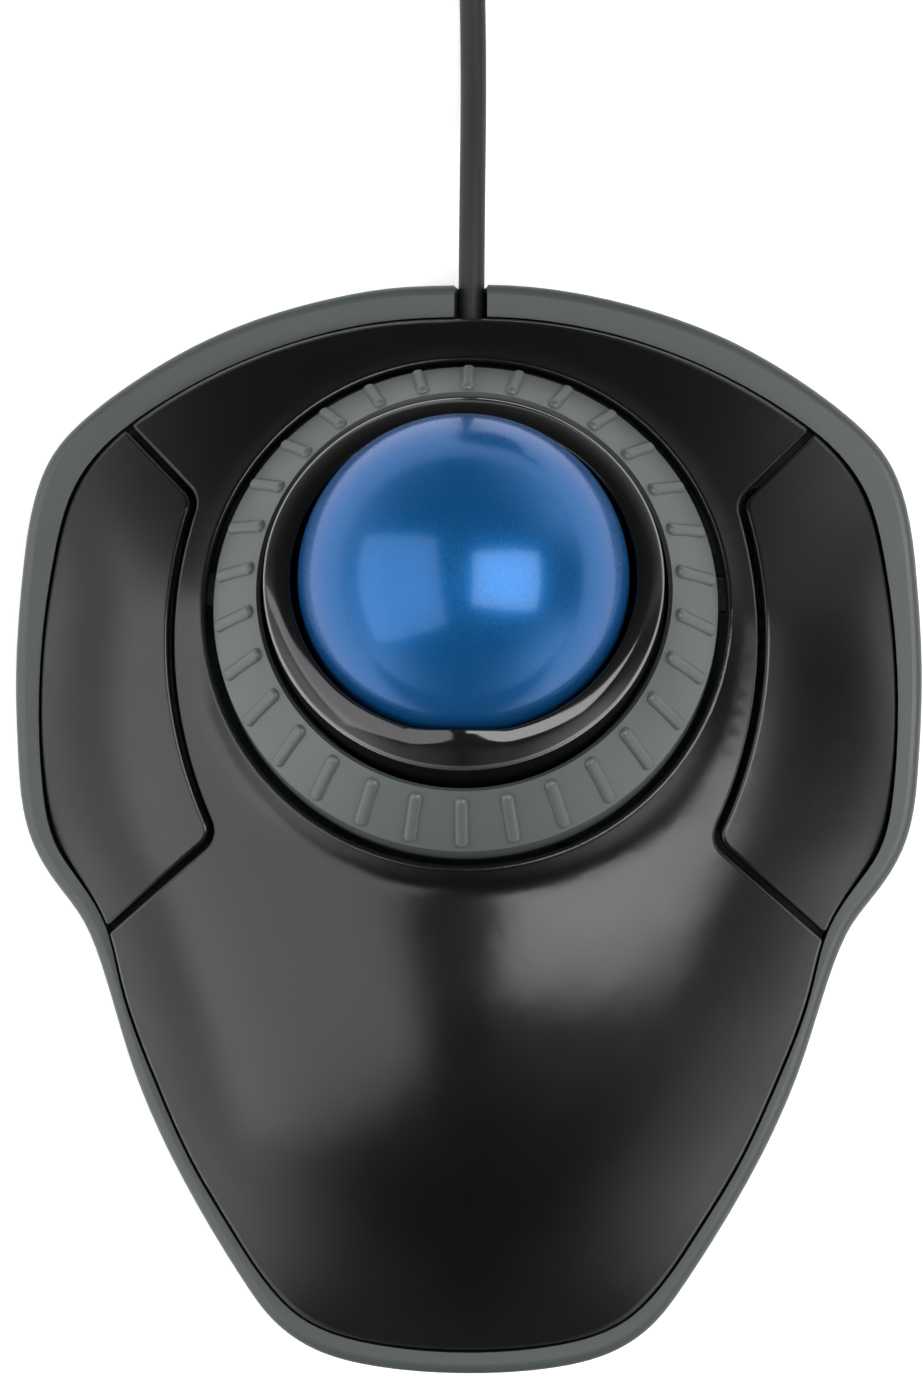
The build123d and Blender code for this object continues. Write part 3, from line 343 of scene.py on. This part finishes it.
def make_collar():
    """The collar as one closed mesh: glossy lip; dull outer wall painted near black, a painted shade;
    outer edge painted lighter grey, a painted highlight line.
    """
    sections = [collar_section(2 * math.pi * i / SECTIONS) for i in range(SECTIONS)]
    count = len(sections[0])
    points = [BALL + point for section in sections for point in section]
    faces = []
    for i in range(SECTIONS):
        near, far = i * count, (i + 1) % SECTIONS * count
        for j in range(count):
            k = (j + 1) % count
            faces.append((near + j, far + j, far + k, near + k))
    piece = mesh_from("collar_lip", points, faces, "body")
    for material in (collar_black, collar_wall_painted_shade, collar_edge_painted_highlight):
        piece.data.materials.append(material)
    for polygon in piece.data.polygons:
        along = polygon.index % count
        # faces of the outer wall take the copy painted near black as shade
        if along < WALL_STEPS:
            polygon.material_index = 1
        # faces of the rounded outer edge take the copy painted lighter as a highlight
        elif along < WALL_STEPS + EDGE_STEPS:
            polygon.material_index = 2
    return piece


collar = make_collar()
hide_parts("ball_collar")

# ---------------------------------------------------------------- cable with its put-away coil
CABLE_D = 3.3
CABLE_FACETS = 5            # Blender's bevel resolution of the round section
COIL = Vector((19, 136))
COIL_R = 19.0               # mean radius of the turns
LANE = 3.3                  # across from one turn to the next
ROW = 2.86                  # up from one row to the next
BOTTOM_ROW = 2.15
# lanes in winding order: steps outwards from the coil's mean radius, and rows up
LANES = [
    (0.5, 0), (-0.5, 0), (-1, 1), (-1.5, 2), (-1, 3), (-0.5, 4), (0.5, 4), (1, 3), (0, 3),
    (-0.5, 2), (0, 1), (0.5, 2), (1.5, 2), (1, 1),
]
LAST_PART = 0.25            # share of a turn that the cord follows its last lane
POINTS_PER_TURN = 24
CHANGE = 0.2                # share of a turn over which the cord moves to its next lane


def coil_points():
    """Points from the coil's left side round to where the cord leaves for its plug."""
    points = []
    steps = round((len(LANES) - 1 + LAST_PART) * POINTS_PER_TURN)
    for step in range(1, steps + 1):
        turns = step / POINTS_PER_TURN
        lane = min(int(turns), len(LANES) - 1)
        after = min(lane + 1, len(LANES) - 1)
        t = smooth_step((turns - lane - (1 - CHANGE)) / CHANGE)
        out = LANES[lane][0] * (1 - t) + LANES[after][0] * t
        row = LANES[lane][1] * (1 - t) + LANES[after][1] * t
        radius = COIL_R + out * LANE
        angle = math.pi - 2 * math.pi * turns
        points.append((
            COIL.x + radius * math.cos(angle), COIL.y + radius * math.sin(angle),
            BOTTOM_ROW + row * ROW,
        ))
    return points


cable_route = [(0, 51, 7.2), (0, 75, 7.2), (0, 100, 1.65), (-1, 125, 1.65)]
cable_route += coil_points()
cable_route += [(32, 157.6, 4.6), (44.5, 157, 4.0)]
cable_curve = bpy.data.curves.new("cable_line", "CURVE")
cable_curve.dimensions = "3D"
cable_spline = cable_curve.splines.new("NURBS")
cable_spline.points.add(len(cable_route) - 1)
for point, place in zip(cable_spline.points, cable_route):
    point.co = (*(Vector(place) * MM), 1)
cable_spline.order_u = 3
cable_spline.use_endpoint_u = True
cable_curve.resolution_u = 8
cable_line = new_object("cable_line", cable_curve)
line_mesh = bpy.data.meshes.new_from_object(cable_line)
cable_curve.bevel_depth = CABLE_D / 2 * MM
cable_curve.bevel_resolution = CABLE_FACETS
cable_curve.use_fill_caps = True
cable_mesh = bpy.data.meshes.new_from_object(cable_line)
bpy.data.objects.remove(cable_line)
for polygon in cable_mesh.polygons:
    polygon.use_smooth = True
cable = new_object("cable_lead", cable_mesh, "body")
dress(cable_black, cable)
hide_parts("cable", "cable_coil")

# ---------------------------------------------------------------- floor
FLOOR_HALF = 3000
FLOOR_WHITE = (0.88, 0.88, 0.88)
FLOOR_UNLIT = (0.05, 0.05, 0.05)
FLOOR_GLOW = 0.45
WEDGE = 0.8                 # the unlit wedge is where y + WEDGE |x| is under UNLIT_BEFORE,
UNLIT_BEFORE = -100         # and the table is fully lit again where it is over LIT_BEYOND
LIT_BEYOND = -20


def make_floor():
    """A white table. Seen by anything but the camera, a wedge of it in front is unlit."""
    reach = FLOOR_HALF
    corners = [(-reach, -reach, 0), (reach, -reach, 0), (reach, reach, 0), (-reach, reach, 0)]
    data = bpy.data.meshes.new("floor")
    data.from_pydata([Vector(corner) * MM for corner in corners], [], [(0, 1, 2, 3)])
    piece = new_object("floor", data)
    s = Shader("floor_white")
    split = s.add("ShaderNodeSeparateXYZ")
    s.link(s.coords.outputs["Object"], split.inputs["Vector"])
    side = s.add("ShaderNodeMath", operation="ABSOLUTE")
    s.link(split.outputs["X"], side.inputs[0])
    lead = s.add("ShaderNodeMath", operation="MULTIPLY_ADD")
    s.link(side.outputs[0], lead.inputs[0])
    lead.inputs[1].default_value = WEDGE
    s.link(split.outputs["Y"], lead.inputs[2])
    lit = s.add("ShaderNodeMapRange")
    lit.inputs["From Min"].default_value = UNLIT_BEFORE * MM
    lit.inputs["From Max"].default_value = LIT_BEYOND * MM
    s.link(lead.outputs[0], lit.inputs["Value"])
    rays = s.add("ShaderNodeLightPath")
    white = s.add("ShaderNodeMath", operation="MAXIMUM")
    s.link(rays.outputs["Is Camera Ray"], white.inputs[0])
    s.link(lit.outputs["Result"], white.inputs[1])
    s.link(s.mix(white.outputs[0], FLOOR_UNLIT, FLOOR_WHITE), s.body.inputs["Base Color"])
    s.link(s.mix(white.outputs[0], (0, 0, 0), (1, 1, 1)), s.body.inputs["Emission Color"])
    s.body.inputs["Roughness"].default_value = 0.7
    s.body.inputs["Emission Strength"].default_value = FLOOR_GLOW
    data.materials.append(s.material)
    return piece


make_floor()

# ---------------------------------------------------------------- lights
LIT_PLACE = Vector((0, 20, 40)) * MM        # both softboxes face the ring


def softbox(name, place, width, height, power):
    """A rectangular area light; place and size in millimetres, power in watts."""
    data = bpy.data.lights.new(name, "AREA")
    data.shape = "RECTANGLE"
    data.size = width * MM
    data.size_y = height * MM
    data.energy = power
    light = bpy.data.objects.new(name, data)
    bpy.context.scene.collection.objects.link(light)
    light.location = Vector(place) * MM
    light.rotation_euler = (LIT_PLACE - light.location).to_track_quat("-Z", "Y").to_euler()


softbox("key", (495, 10, 850), 670, 840, 9.0)
softbox("fill", (-660, -60, 700), 1200, 1100, 8.8)

# ---------------------------------------------------------------- world: a studio that is dark above
STUDIO_STRENGTH = 2.0
BACKDROP_GREY = (0.6, 0.6, 0.6, 1)          # what the camera sees past the floor
BY_HEIGHT = [(0.0, 1.0), (0.3, 0.45), (0.6, 0.02)]
# brightness round the horizon, from the left by the front, the right and the rear
BY_SIDE = [
    (0.0, 0.55), (0.07, 0.7), (0.13, 1.0), (0.19, 0.3),
    (0.25, 0.02), (0.31, 0.3), (0.37, 1.0), (0.42, 0.9), (0.46, 0.12),
    (0.5, 0.02), (0.54, 0.12), (0.59, 0.8), (0.66, 0.45),
    (0.75, 0.03), (0.86, 0.25), (0.93, 0.5),
]
world = bpy.data.worlds.new("studio")
bpy.context.scene.world = world
world.use_nodes = True
sky = world.node_tree


def sky_ramp(factor, stops):
    """A grey ramp over (position, brightness) stops."""
    node = sky.nodes.new("ShaderNodeValToRGB")
    ramp = node.color_ramp
    for extra in stops[2:]:
        ramp.elements.new(extra[0])
    for element, (position, value) in zip(ramp.elements, stops):
        element.position = position
        element.color = (value, value, value, 1)
    sky.links.new(factor, node.inputs["Fac"])
    return node.outputs["Color"]


def sky_mix(blend_type):
    node = sky.nodes.new("ShaderNodeMix")
    node.data_type = "RGBA"
    node.blend_type = blend_type
    return node


directions = sky.nodes.new("ShaderNodeTexCoord")
split = sky.nodes.new("ShaderNodeSeparateXYZ")
sky.links.new(directions.outputs["Generated"], split.inputs["Vector"])
compass = sky.nodes.new("ShaderNodeTexGradient")
compass.gradient_type = "RADIAL"
sky.links.new(directions.outputs["Generated"], compass.inputs["Vector"])
studio = sky_mix("MULTIPLY")
studio.inputs["Factor"].default_value = 1.0
sky.links.new(sky_ramp(split.outputs["Z"], BY_HEIGHT), studio.inputs[MIX_FIRST])
sky.links.new(sky_ramp(compass.outputs["Fac"], BY_SIDE), studio.inputs[MIX_SECOND])
rays = sky.nodes.new("ShaderNodeLightPath")
seen = sky_mix("MIX")
sky.links.new(rays.outputs["Is Camera Ray"], seen.inputs["Factor"])
sky.links.new(studio.outputs[MIX_RESULT], seen.inputs[MIX_FIRST])
seen.inputs[MIX_SECOND].default_value = BACKDROP_GREY
backdrop = sky.nodes["Background"]
backdrop.inputs["Strength"].default_value = STUDIO_STRENGTH
sky.links.new(seen.outputs[MIX_RESULT], backdrop.inputs["Color"])

bpy.context.scene.view_settings.view_transform = "Standard"

bpy.context.view_layer.update()
